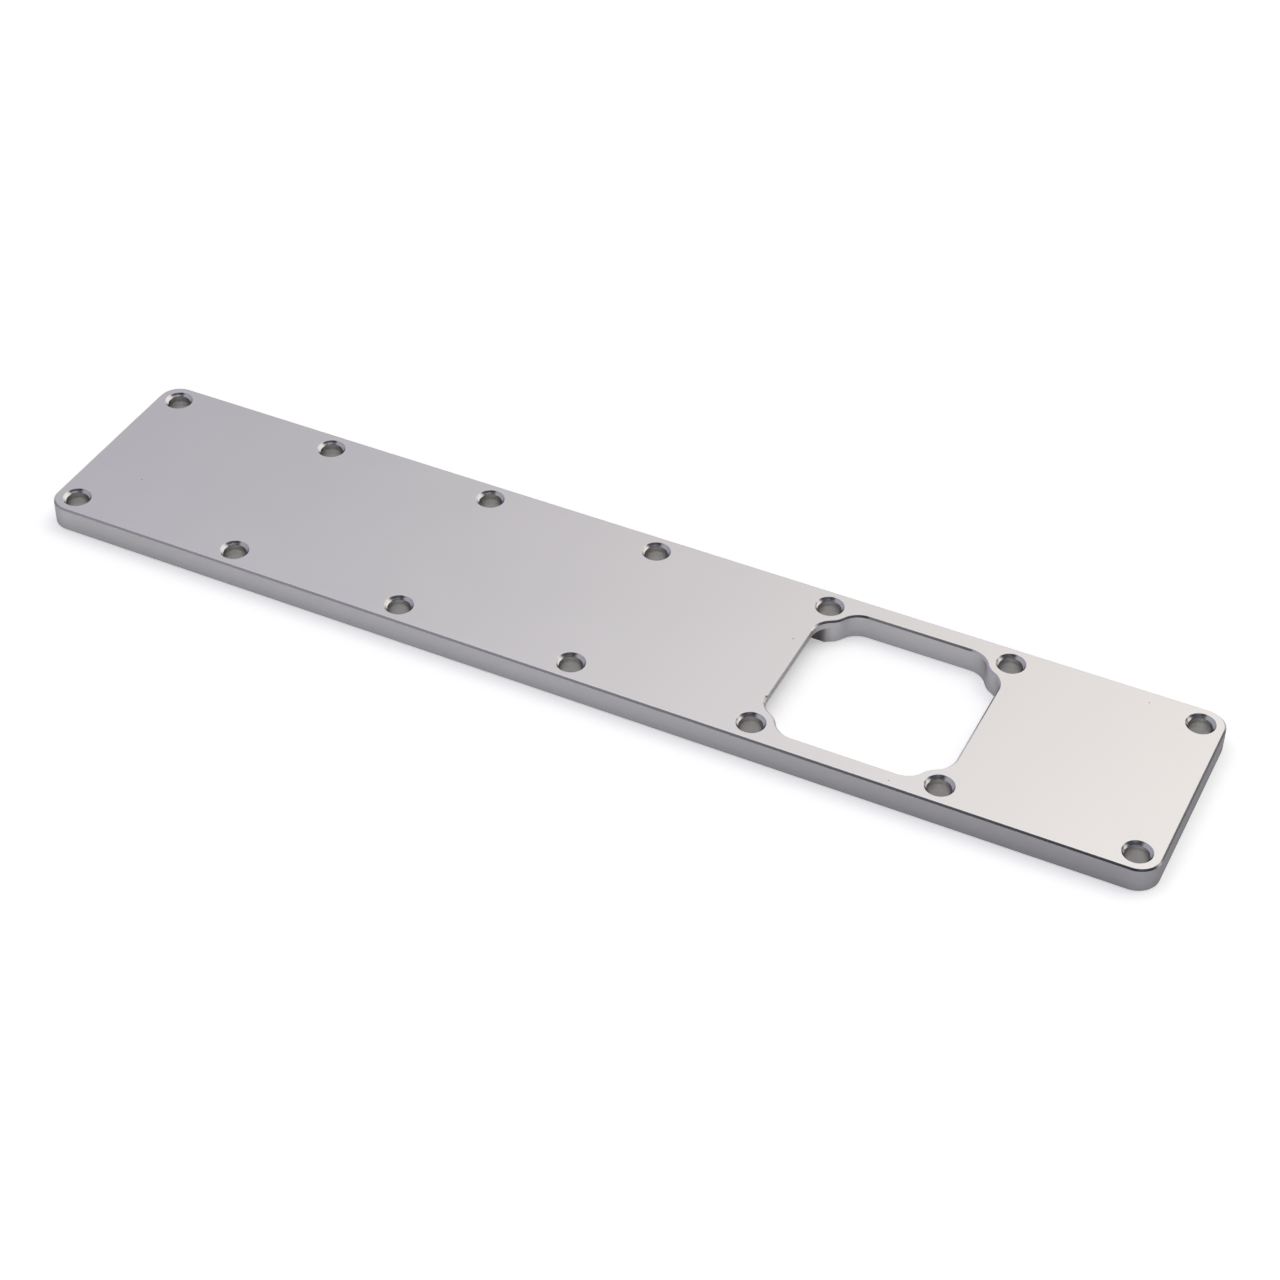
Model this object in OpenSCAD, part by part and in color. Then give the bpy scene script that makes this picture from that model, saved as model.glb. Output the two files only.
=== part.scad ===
// Intake plenum plate: a flat cover machined from one aluminium plate. Two rows
// of bolts hold it on the intake side of a cylinder head, and air comes in through
// a square window whose corners run round the four bolts beside it. A channel in
// the underside leads the air on along the plate.
// The origin is the middle of the underside, the face that the gasket seals on.
// X runs along the plate towards the window end, and Z points out of the engine.

/* [Plate] */
// Thickness of the plate
plate_t = 12.7; // [8:0.1:25]
// From the last bolt column to the end of the plate
end_margin = 11.5; // [10:0.5:20]
// From a bolt row to the long side of the plate
side_margin = 11; // [10:0.5:20]
// Radius of the plate's corners, seen from above
corner_r = 11; // [4:0.5:14]
// Chamfer round the top of the plate
edge_chamfer = 0.9; // [0.3:0.1:2]
// Chamfer that breaks every edge of the underside
underside_chamfer = 0.5; // [0.2:0.1:1]

/* [Bolt holes] */
// Number of bolt columns along the plate
bolt_columns = 7; // [6:1:10]
// Distance between two bolt columns
bolt_pitch = 90; // [75:1:120]
// Distance between the two bolt rows
row_spacing = 90; // [75:1:120]
// Diameter of a bolt hole
bolt_hole_d = 11; // [6:0.1:13]
// Width of the chamfer round the top of a bolt hole
hole_chamfer = 1.5; // [0.5:0.1:2.5]

/* [Window] */
// The window lies between this bolt column and the next
window_column = 5; // [2:1:5]
// How far the window's straight sides lie beyond the lines of bolts beside it
window_reach = 0.6; // [-1:0.1:3]
// Metal left round a bolt hole at the window's corners
boss_wall = 5.6; // [4:0.1:8]
// Radius that blends a straight side of the window into a boss
blend_r = 11; // [4:0.5:14]
// Chamfer round the top of the window, left out where the channel passes under
window_chamfer = 0.9; // [0.3:0.1:2]

/* [Channel] */
// Metal left above the air channel in the underside
channel_roof = 4; // [2.5:0.1:6]
// Metal left between the air channel and a bolt hole
channel_wall = 5.9; // [4:0.1:10]

/* [Hidden] */
$fn = 96;

// How far a cut runs on past the plate's faces
overcut = 1;
plate_half = [(bolt_columns - 1) * bolt_pitch / 2 + end_margin, row_spacing / 2 + side_margin];
first_column_x = -(bolt_columns - 1) * bolt_pitch / 2;
window_x = first_column_x + (window_column - 0.5) * bolt_pitch;

// From the window's middle to the bolt at its corner
window_bolt = [bolt_pitch, row_spacing] / 2;
boss_r = bolt_hole_d / 2 + boss_wall;
// A blend touches a straight side and a boss: its centre lies one blend radius
// inside the side, and the sum of both radii away from the bolt
blend_inset = blend_r - window_reach;
blend_offset = sqrt(pow(boss_r + blend_r, 2) - pow(blend_inset, 2));

// The channel runs from the first bolt column into the middle of the window, and
// keeps as far off that column as off both rows
channel_depth = plate_t - channel_roof;
channel_keep_off = bolt_hole_d / 2 + channel_wall;
channel_start_x = first_column_x + channel_keep_off;
channel_half = [(window_x - channel_start_x) / 2, row_spacing / 2 - channel_keep_off];

// Section through an edge, out from the middle: an upright wall with a 45 degree
// chamfer at each face. A positive flare moves the wall out at the faces, a
// negative one brings it in, and over runs the section on past both faces.
function edge_section(wall, top_flare, bottom_flare, over = 0) = [
    [0, -over],
    [wall + bottom_flare + sign(bottom_flare) * over, -over],
    [wall, abs(bottom_flare)],
    [wall, plate_t - abs(top_flare)],
    [wall + top_flare + sign(top_flare) * over, plate_t + over],
    [0, plate_t + over]
];
function plate_section(wall) = edge_section(wall, -edge_chamfer, -underside_chamfer);
function window_section(wall) = edge_section(wall, window_chamfer, underside_chamfer, overcut);
// The same for a wall without chamfers
function upright_section(wall) = [[0, -overcut], [wall, -overcut], [wall, plate_t + overcut], [0, plate_t + overcut]];
// The same for the channel, which ends below its roof
function channel_section(wall) = [
    [0, -overcut],
    [wall + underside_chamfer + overcut, -overcut],
    [wall, underside_chamfer],
    [wall, channel_depth],
    [0, channel_depth]
];
function swapped(point) = [point.y, point.x];

// Sweeps a section in a straight line from the middle along Y, facing X
module sweep_side(section, length) {
    translate([0, length, 0])
        rotate([90, 0, 0])
            linear_extrude(length)
                polygon(section);
}

// Makes a whole out of one half beside the X axis
module both_rows() {
    for (flip_y = [0, 1])
        mirror([0, flip_y, 0])
            children();
}

// Makes a corner out of what faces X and its twin that faces Y
module four_corners() {
    for (flip_x = [0, 1])
        mirror([flip_x, 0, 0])
            both_rows()
                children();
}

// Keeps what lies within an outline seen from above
module within(outline) {
    intersection() {
        children();
        column(outline);
    }
}

// An upright column through the plate, past both faces
module column(outline) {
    translate([0, 0, -overcut])
        linear_extrude(plate_t + 2 * overcut)
            polygon(outline);
}

// A block with round corners. In each quarter, two bars cross in the middle, and a
// quarter turn of the same section rounds the corner.
module rounded_block(half, round_r, facing_x, facing_y, turned) {
    corner = half - [round_r, round_r];
    four_corners() {
        sweep_side(facing_x, corner.y);
        mirror([1, -1, 0])
            sweep_side(facing_y, corner.x);
        translate([corner.x, corner.y, 0])
            rotate_extrude(angle = 90)
                polygon(turned);
    }
}

// The plate before drilling
module plate_blank() {
    rounded_block(plate_half, corner_r,
        plate_section(plate_half.x), plate_section(plate_half.y), plate_section(corner_r));
}

// One bolt hole, with its chamfer at the top and a broken edge underneath
module bolt_hole() {
    rotate_extrude()
        polygon(edge_section(bolt_hole_d / 2, hole_chamfer, underside_chamfer, overcut));
}

module bolt_holes() {
    for (number = [0 : bolt_columns - 1], row = [-1, 1])
        translate([first_column_x + number * bolt_pitch, row * row_spacing / 2, 0])
            bolt_hole();
}

// The window's cut from its middle out to a straight side that faces X, and round
// the blend at the side's end. bolt is the place of the bolt at the corner.
module window_side(bolt, section) {
    blend = bolt - [blend_inset, blend_offset];
    side_end = [bolt.x + boss_r, blend.y];
    within([[0, 0], [side_end.x, 0], side_end, blend])
        sweep_side(section, bolt.y);
    within([blend, side_end, bolt])
        translate([blend.x, blend.y, 0])
            rotate_extrude()
                polygon(window_section(blend_r));
}

// The cut between the blends of a corner, which leaves the boss round the bolt
module window_corner(bolt) {
    difference() {
        column([[0, 0], bolt - [blend_inset, blend_offset], bolt, bolt - [blend_offset, blend_inset]]);
        translate([bolt.x, bolt.y, 0])
            rotate_extrude()
                polygon(edge_section(boss_r, -window_chamfer, -underside_chamfer, overcut));
    }
}

// The whole window. Its pieces share the corners of their outlines, so that they
// meet face to face where one curve runs on into the next.
module window_cut() {
    four_corners() {
        mirror([1, -1, 0])
            window_side(swapped(window_bolt), window_section(window_bolt.y + window_reach));
        window_corner(window_bolt);
    }
    both_rows() {
        window_side(window_bolt, window_section(window_bolt.x + window_reach));
        // the side over the channel keeps a sharp lip
        mirror([1, 0, 0])
            window_side(window_bolt, upright_section(window_bolt.x + window_reach));
    }
}

// The air channel, milled from below
module channel_cut() {
    translate([channel_start_x + channel_half.x, 0, 0])
        rounded_block(channel_half, blend_r,
            channel_section(channel_half.x), channel_section(channel_half.y), channel_section(blend_r));
}

module plenum_plate() {
    color("#c6c4c8")
        difference() {
            plate_blank();
            bolt_holes();
            translate([window_x, 0, 0])
                window_cut();
            channel_cut();
        }
}

plenum_plate();
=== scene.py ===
import math

import bpy
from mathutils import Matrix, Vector


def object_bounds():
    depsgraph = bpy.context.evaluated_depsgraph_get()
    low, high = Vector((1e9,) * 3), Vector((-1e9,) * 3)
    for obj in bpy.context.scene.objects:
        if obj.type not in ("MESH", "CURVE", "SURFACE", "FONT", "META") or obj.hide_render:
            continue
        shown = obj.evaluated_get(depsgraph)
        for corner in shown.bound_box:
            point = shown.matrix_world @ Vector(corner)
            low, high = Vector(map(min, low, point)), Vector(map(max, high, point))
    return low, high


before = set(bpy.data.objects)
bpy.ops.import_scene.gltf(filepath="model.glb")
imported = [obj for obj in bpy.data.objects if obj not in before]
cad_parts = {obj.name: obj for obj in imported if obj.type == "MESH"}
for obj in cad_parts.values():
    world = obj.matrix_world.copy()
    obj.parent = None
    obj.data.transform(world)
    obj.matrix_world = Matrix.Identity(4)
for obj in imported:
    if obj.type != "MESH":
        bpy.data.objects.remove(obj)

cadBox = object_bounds()

mm = 0.001


def toLinear(hexColour, strength=1.0):
    # sRGB hex to the linear colour that the nodes take, with an alpha of 1
    channels = [int(hexColour[i:i + 2], 16) / 255 for i in (1, 3, 5)]
    linear = [c / 12.92 if c <= 0.04045 else ((c + 0.055) / 1.055) ** 2.4 for c in channels]
    return (*[c * strength for c in linear], 1)


def addNode(tree, kind, inputs=(), **settings):
    # inputs is a list in the sockets' order or a dictionary by socket. Each is a value,
    # or a node or socket to link from.
    node = tree.nodes.new("ShaderNode" + kind)
    for name, value in settings.items():
        setattr(node, name, value)
    pairs = inputs.items() if isinstance(inputs, dict) else enumerate(inputs)
    for key, value in pairs:
        if isinstance(value, bpy.types.Node):
            value = value.outputs[0]
        if isinstance(value, bpy.types.NodeSocket):
            tree.links.new(value, node.inputs[key])
        else:
            node.inputs[key].default_value = value
    return node


def directionTo(azimuth, elevation):
    # azimuth 0 is straight behind the plate, and grows towards the window end
    a, e = math.radians(azimuth), math.radians(elevation)
    return Vector((math.sin(a) * math.cos(e), math.cos(a) * math.cos(e), math.sin(e)))


# camera: a long lens from the front right and above
view = {
    "place": (0.4321, -0.8890, 0.8453),
    "turn": (49.180, -0.814, 25.921),  # degrees
    "lens": 77.79,                     # mm, on the sensor's width
    "sensor": 36,
    "nearest": 10 * mm,
}

cameraData = bpy.data.cameras.new("productCamera")
cameraData.lens = view["lens"]
cameraData.sensor_width = view["sensor"]
cameraData.clip_start = view["nearest"]
camera = bpy.data.objects.new("productCamera", cameraData)
camera.location = view["place"]
camera.rotation_euler = [math.radians(angle) for angle in view["turn"]]
bpy.context.scene.collection.objects.link(camera)
bpy.context.scene.camera = camera
bpy.context.scene.view_settings.view_transform = "Standard"
print("camera set")


# floor: matt white paper. Its glow takes it on to plain white for the eye and the
# metal, without more light on the plate.
floorPaper = {"colour": "#fdfdfd", "roughness": 0.9, "glow": 0.36, "half": 12.0}

half = floorPaper["half"]
corners = [(-half, -half, 0), (half, -half, 0), (half, half, 0), (-half, half, 0)]
floorMesh = bpy.data.meshes.new("floorPaper")
floorMesh.from_pydata(corners, [], [(0, 1, 2, 3)])
floor = bpy.data.objects.new("floorPaper", floorMesh)
bpy.context.scene.collection.objects.link(floor)

whitePaper = bpy.data.materials.new("mattWhitePaper")
whitePaper.use_nodes = True
paper = whitePaper.node_tree
paper.nodes.clear()
rays = addNode(paper, "LightPath").outputs
seen = rays["Is Camera Ray"]
for ray in ("Is Glossy Ray", "Is Transmission Ray"):
    seen = addNode(paper, "Math", [seen, rays[ray]], operation="MAXIMUM")
glow = addNode(paper, "Math", [seen, floorPaper["glow"]], operation="MULTIPLY")
shine = addNode(paper, "Emission", {"Strength": glow})
matt = addNode(paper, "BsdfDiffuse", {
    "Color": toLinear(floorPaper["colour"]), "Roughness": floorPaper["roughness"]})
addNode(paper, "OutputMaterial", [addNode(paper, "AddShader", [matt, shine])])
floorMesh.materials.append(whitePaper)
print("floor set")


# lamp: one wide overhead soft light, even all over the floor
overhead = {"strength": 1.0, "spread": 66, "azimuth": 0, "elevation": 84}

lampData = bpy.data.lights.new("overheadSoftLight", "SUN")
lampData.energy = overhead["strength"]
lampData.angle = math.radians(overhead["spread"])
lamp = bpy.data.objects.new("overheadSoftLight", lampData)
lampSide = directionTo(overhead["azimuth"], overhead["elevation"])
lamp.rotation_euler = lampSide.to_track_quat("Z", "Y").to_euler()
bpy.context.scene.collection.objects.link(lamp)

# room: what the metal mirrors. Each card lies over the ones before it, full inside
# the first angle and gone beyond the second (degrees from its middle).
roomTone = "#8a8b91"
roomCards = [
    {"azimuth": -60, "elevation": 28, "inside": 30, "outside": 75, "colour": "#b8b6c1", "strength": 1.0},
    {"azimuth": -130, "elevation": 40, "inside": 8, "outside": 36, "colour": "#bdbdc4", "strength": 1.0},
    {"azimuth": 112, "elevation": 44, "inside": 22, "outside": 52, "colour": "#4b4d55", "strength": 1.0},
    {"azimuth": -182, "elevation": 47, "inside": 8, "outside": 23, "colour": "#2e3138", "strength": 1.0},
    {"azimuth": 26, "elevation": 32, "inside": 24, "outside": 49, "colour": "#fff9ef", "strength": 1.27},
    {"azimuth": 148, "elevation": 12, "inside": 14, "outside": 34, "colour": "#b4b4ba", "strength": 1.0},
    {"azimuth": 46, "elevation": -6, "inside": 14, "outside": 24, "colour": "#6d6e74", "strength": 1.0},
]

world = bpy.data.worlds.new("studioRoom")
bpy.context.scene.world = world
world.use_nodes = True
room = world.node_tree
room.nodes.clear()
around = addNode(room, "TexCoord").outputs["Generated"]
tone = toLinear(roomTone)
for card in roomCards:
    cardSide = directionTo(card["azimuth"], card["elevation"])
    facing = addNode(room, "VectorMath", [around, cardSide], operation="DOT_PRODUCT")
    cover = addNode(room, "MapRange", {
        "Value": facing.outputs["Value"],
        "From Min": math.cos(math.radians(card["outside"])),
        "From Max": math.cos(math.radians(card["inside"]))}, interpolation_type="SMOOTHSTEP")
    cardTone = toLinear(card["colour"], card["strength"])
    tone = addNode(room, "Mix", {0: cover, 6: tone, 7: cardTone}, data_type="RGBA").outputs[2]
addNode(room, "OutputWorld", [addNode(room, "Background", {"Color": tone})])
print("lamp and room set")


# plate: machined 6000-series aluminium plate, blasted fine and clear anodised on its
# flat faces. The eye gets a soft even sheen there and crisper edges, drawn darker as painted shade.
plateFinish = {
    "colour": {
        "chamfer": "#d0cfd3",
        "outerChamfer": "#b7b6ba",
        # painted shade: the walls are drawn darker than the faces and chamfers
        "wall": "#aaa9ac",
        "endWall": "#929195",   # painted shade: the outer sides are drawn darker towards the window end
        "bore": "#a7a5a3",
        "face": "#d6d5d6",
        "nick": "#8d8c8f",
        "wornEdge": "#dddce0",  # burnished by handling, and lighter as a painted highlight along the edges
        "channel": "#5c5b5e",   # painted shade: drawn dark inside the channel, under the overhang
    },
    "roughness": {"chamfer": 0.20, "wall": 0.45, "bore": 0.32, "face": 0.38},
    "glance": "#cacaca",        # the oxide film dulls what is seen at a low glance
    "wallTilt": 0.3,            # share of up or down in the normal, less on a wall
    "faceTilt": 0.95,           # and more on a flat face

    "boltPitch": 90 * mm,
    "rowSpacing": 90 * mm,
    "holeReach": 8 * mm,        # nearer than this to a bolt's axis is drilled, not milled
    "holeMouth": 7 * mm,        # radius of a hole's chamfer at the top face
    # wave, spacing and slope of the tool's rings. They are really 0.1 mm a turn, and
    # both are drawn coarser, so that they show.
    "toolRings": [("COSINE", 3 * mm, 0.045), ("SINE", 0.4 * mm, 0.035)],

    "millMark": 0.9 * mm,       # really 0.1 mm a tooth: drawn coarser too
    "millSlope": 0.05,
    "millStretch": 0.03,        # the marks run nearly straight up
    "grain": 0.6 * mm,          # blasting leaves 0.1 mm dimples: drawn coarser
    "grainSlope": 0.02,
    "mottle": 40 * mm,          # slow change of the blasting, seen only in the sheen
    "mottleDepth": 0.05,

    "edgeRound": 0.1 * mm,
    "wornHighlightFrom": 0.995,          # how far the rounded normal still faces the flat one
    "wornHighlightTo": 0.95,
    "nicks": [(-250, -19), (84, 16), (159, -52), (245, 48)],  # mm, on the top face
    "nickCore": 0.2 * mm,
    "nickRadius": 0.5 * mm,

    "endShadeStart": -60 * mm,
    "endShadeEnd": 270 * mm,
    "windowMiddle": 135 * mm,
    "windowReach": 50 * mm,
    "channelEnd": -262 * mm,
    "channelStart": 90 * mm,
    "channelFade": 6 * mm,
    "channelSide": 36 * mm,
    "channelFoot": 0.6 * mm,
    "channelRoof": 8.75 * mm,
}

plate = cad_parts["plenum_plate"]
satin = bpy.data.materials.new("blastedAnodisedAluminium")
satin.use_nodes = True
metal = satin.node_tree
metal.nodes.clear()
finish = plateFinish

spot = addNode(metal, "TexCoord")
place = spot.outputs["Object"]
x, y, z = addNode(metal, "SeparateXYZ", [place]).outputs
normalX, normalY, normalZ = addNode(metal, "SeparateXYZ", [spot.outputs["Normal"]]).outputs
fromMiddle = addNode(metal, "Math", [y], operation="ABSOLUTE")
tilt = addNode(metal, "Math", [normalZ], operation="ABSOLUTE")
isWall = addNode(metal, "Math", [tilt, finish["wallTilt"]], operation="LESS_THAN")
isFace = addNode(metal, "Math", [tilt, finish["faceTilt"]], operation="GREATER_THAN")

# the nearest bolt hole: every column lies a whole number of pitches from the middle
halfPitch = finish["boltPitch"] / 2
holeX = addNode(metal, "Math", [x, halfPitch, -halfPitch], operation="WRAP")
holeY = addNode(metal, "Math", [fromMiddle, finish["rowSpacing"] / 2], operation="SUBTRACT")
fromHole = addNode(metal, "CombineXYZ", [holeX, holeY])
holeRadius = addNode(metal, "VectorMath", [fromHole], operation="LENGTH").outputs["Value"]
nearHole = addNode(metal, "Math", [holeRadius, finish["holeReach"]], operation="LESS_THAN")
notFace = addNode(metal, "Math", [1, isFace], operation="SUBTRACT")
isDrilled = addNode(metal, "Math", [nearHole, notFace], operation="MULTIPLY")
isBore = addNode(metal, "Math", [isDrilled, isWall], operation="MULTIPLY")

# the outer sides: all that is neither in the window nor in a hole
alongWindow = addNode(metal, "Math", [x, finish["windowMiddle"]], operation="SUBTRACT")
alongWindow = addNode(metal, "Math", [alongWindow], operation="ABSOLUTE")
fromWindow = addNode(metal, "Math", [fromMiddle, alongWindow], operation="MAXIMUM")
inWindow = addNode(metal, "Math", [fromWindow, finish["windowReach"]], operation="LESS_THAN")
isInner = addNode(metal, "Math", [isDrilled, inWindow], operation="MAXIMUM")
isOuter = addNode(metal, "Math", [1, isInner], operation="SUBTRACT")
outerWall = addNode(metal, "Math", [isOuter, isWall], operation="MULTIPLY")
# painted shade: the outer walls darken slowly towards the window end
towardsEnd = addNode(metal, "MapRange", {
    "Value": x, "From Min": finish["endShadeStart"], "From Max": finish["endShadeEnd"]},
    interpolation_type="SMOOTHSTEP")
isEndShade = addNode(metal, "Math", [outerWall, towardsEnd], operation="MULTIPLY")

# painted shade inside the channel, fading out at the window
channelShade = addNode(metal, "MapRange", {
    "Value": x, "From Min": finish["channelStart"] + finish["channelFade"],
    "From Max": finish["channelStart"]}, interpolation_type="SMOOTHSTEP")
for distance, side, limit in [
        (fromMiddle, "LESS_THAN", "channelSide"), (x, "GREATER_THAN", "channelEnd"),
        (z, "LESS_THAN", "channelRoof"), (z, "GREATER_THAN", "channelFoot")]:
    within = addNode(metal, "Math", [distance, finish[limit]], operation=side)
    channelShade = addNode(metal, "Math", [channelShade, within], operation="MULTIPLY")

# small nicks on the top face
flatPlace = addNode(metal, "CombineXYZ", [x, y])
nicks = 0
for nickX, nickY in finish["nicks"]:
    nickPlace = (nickX * mm, nickY * mm, 0)
    away = addNode(metal, "VectorMath", [flatPlace, nickPlace], operation="DISTANCE")
    nick = addNode(metal, "MapRange", {
        "Value": away.outputs["Value"],
        "From Min": finish["nickRadius"], "From Max": finish["nickCore"]})
    nicks = addNode(metal, "Math", [nicks, nick], operation="ADD")
isNick = addNode(metal, "Math", [nicks, isFace], operation="MULTIPLY")

# tool rings in the bolt holes, one of them across the chamfer at the mouth
mouthPlace = finish["holeMouth"] + cadBox[1][2]
ringPlace = addNode(metal, "Math", [holeRadius, z], operation="ADD")
ringPlace = addNode(metal, "Math", [ringPlace, mouthPlace], operation="SUBTRACT")
ringHeight = 0
for wave, spacing, slope in finish["toolRings"]:
    perMetre = 2 * math.pi / spacing
    turn = addNode(metal, "Math", [ringPlace, perMetre], operation="MULTIPLY")
    ring = addNode(metal, "Math", [turn], operation=wave)
    ringHeight = addNode(metal, "Math", [ring, slope / perMetre, ringHeight], operation="MULTIPLY_ADD")

# upright marks of the milling cutter, told along each wall
leftward = addNode(metal, "Math", [normalY, -1], operation="MULTIPLY")
wallLine = addNode(metal, "CombineXYZ", [leftward, normalX])
run = addNode(metal, "VectorMath", [place, wallLine], operation="DOT_PRODUCT").outputs["Value"]
millRise = addNode(metal, "Math", [z, finish["millStretch"]], operation="MULTIPLY")
millPlace = addNode(metal, "CombineXYZ", {"X": run, "Z": millRise})
milled = addNode(metal, "TexNoise", {
    "Vector": millPlace, "Scale": 1 / finish["millMark"], "Detail": 1.0})

# blasted grain on the flat faces, and its slow change
grain = addNode(metal, "TexNoise", {
    "Vector": place, "Scale": 1 / finish["grain"], "Detail": 2.0})
mottle = addNode(metal, "TexNoise", {
    "Vector": place, "Scale": 1 / finish["mottle"], "Detail": 2.0})

height = 0
for pattern, mask, depth in [
        (ringHeight, isDrilled, 1.0),
        (milled, isWall, finish["millSlope"] * finish["millMark"]),
        (grain, isFace, finish["grainSlope"] * finish["grain"])]:
    masked = addNode(metal, "Math", [pattern, mask], operation="MULTIPLY")
    height = addNode(metal, "Math", [masked, depth, height], operation="MULTIPLY_ADD")
edges = addNode(metal, "Bevel", {"Radius": finish["edgeRound"]}, samples=4)
relief = addNode(metal, "Bump", {
    "Height": height, "Distance": 1.0, "Strength": 1.0, "Normal": edges})

# worn edges and a painted edge highlight: where the rounded normal leaves the flat one
flatNormal = addNode(metal, "NewGeometry").outputs["Normal"]
agreement = addNode(metal, "VectorMath", [edges, flatNormal], operation="DOT_PRODUCT")
isWornAndHighlit = addNode(metal, "MapRange", {
    "Value": agreement.outputs["Value"],
    "From Min": finish["wornHighlightFrom"], "From Max": finish["wornHighlightTo"]})

# each zone lies over the ones before it
colour = toLinear(finish["colour"]["chamfer"])
roughness = finish["roughness"]["chamfer"]
for mask, zone in [
        (isOuter, "outerChamfer"), (isWall, "wall"), (isEndShade, "endWall"), (isBore, "bore"),
        (isFace, "face"), (isNick, "nick"), (isWornAndHighlit, "wornEdge"), (channelShade, "channel")]:
    zoneColour = toLinear(finish["colour"][zone])
    colour = addNode(metal, "Mix", {0: mask, 6: colour, 7: zoneColour}, data_type="RGBA").outputs[2]
    if zone in finish["roughness"]:
        zoneRoughness = finish["roughness"][zone]
        roughness = addNode(metal, "Mix", {0: mask, 2: roughness, 3: zoneRoughness})
change = addNode(metal, "Math", [mottle, 0.5], operation="SUBTRACT")
change = addNode(metal, "Math", [change, isFace], operation="MULTIPLY")
roughness = addNode(metal, "Math", [change, finish["mottleDepth"], roughness], operation="MULTIPLY_ADD")
glance = addNode(metal, "Mix", {
    0: isDrilled, 6: toLinear(finish["glance"]), 7: (1, 1, 1, 1)}, data_type="RGBA").outputs[2]

shader = addNode(metal, "BsdfPrincipled", {
    "Base Color": colour, "Metallic": 1.0, "Roughness": roughness,
    "Normal": relief, "Specular Tint": glance})
addNode(metal, "OutputMaterial", [shader])
for slot in plate.material_slots:
    slot.material = satin
print("plate finished")
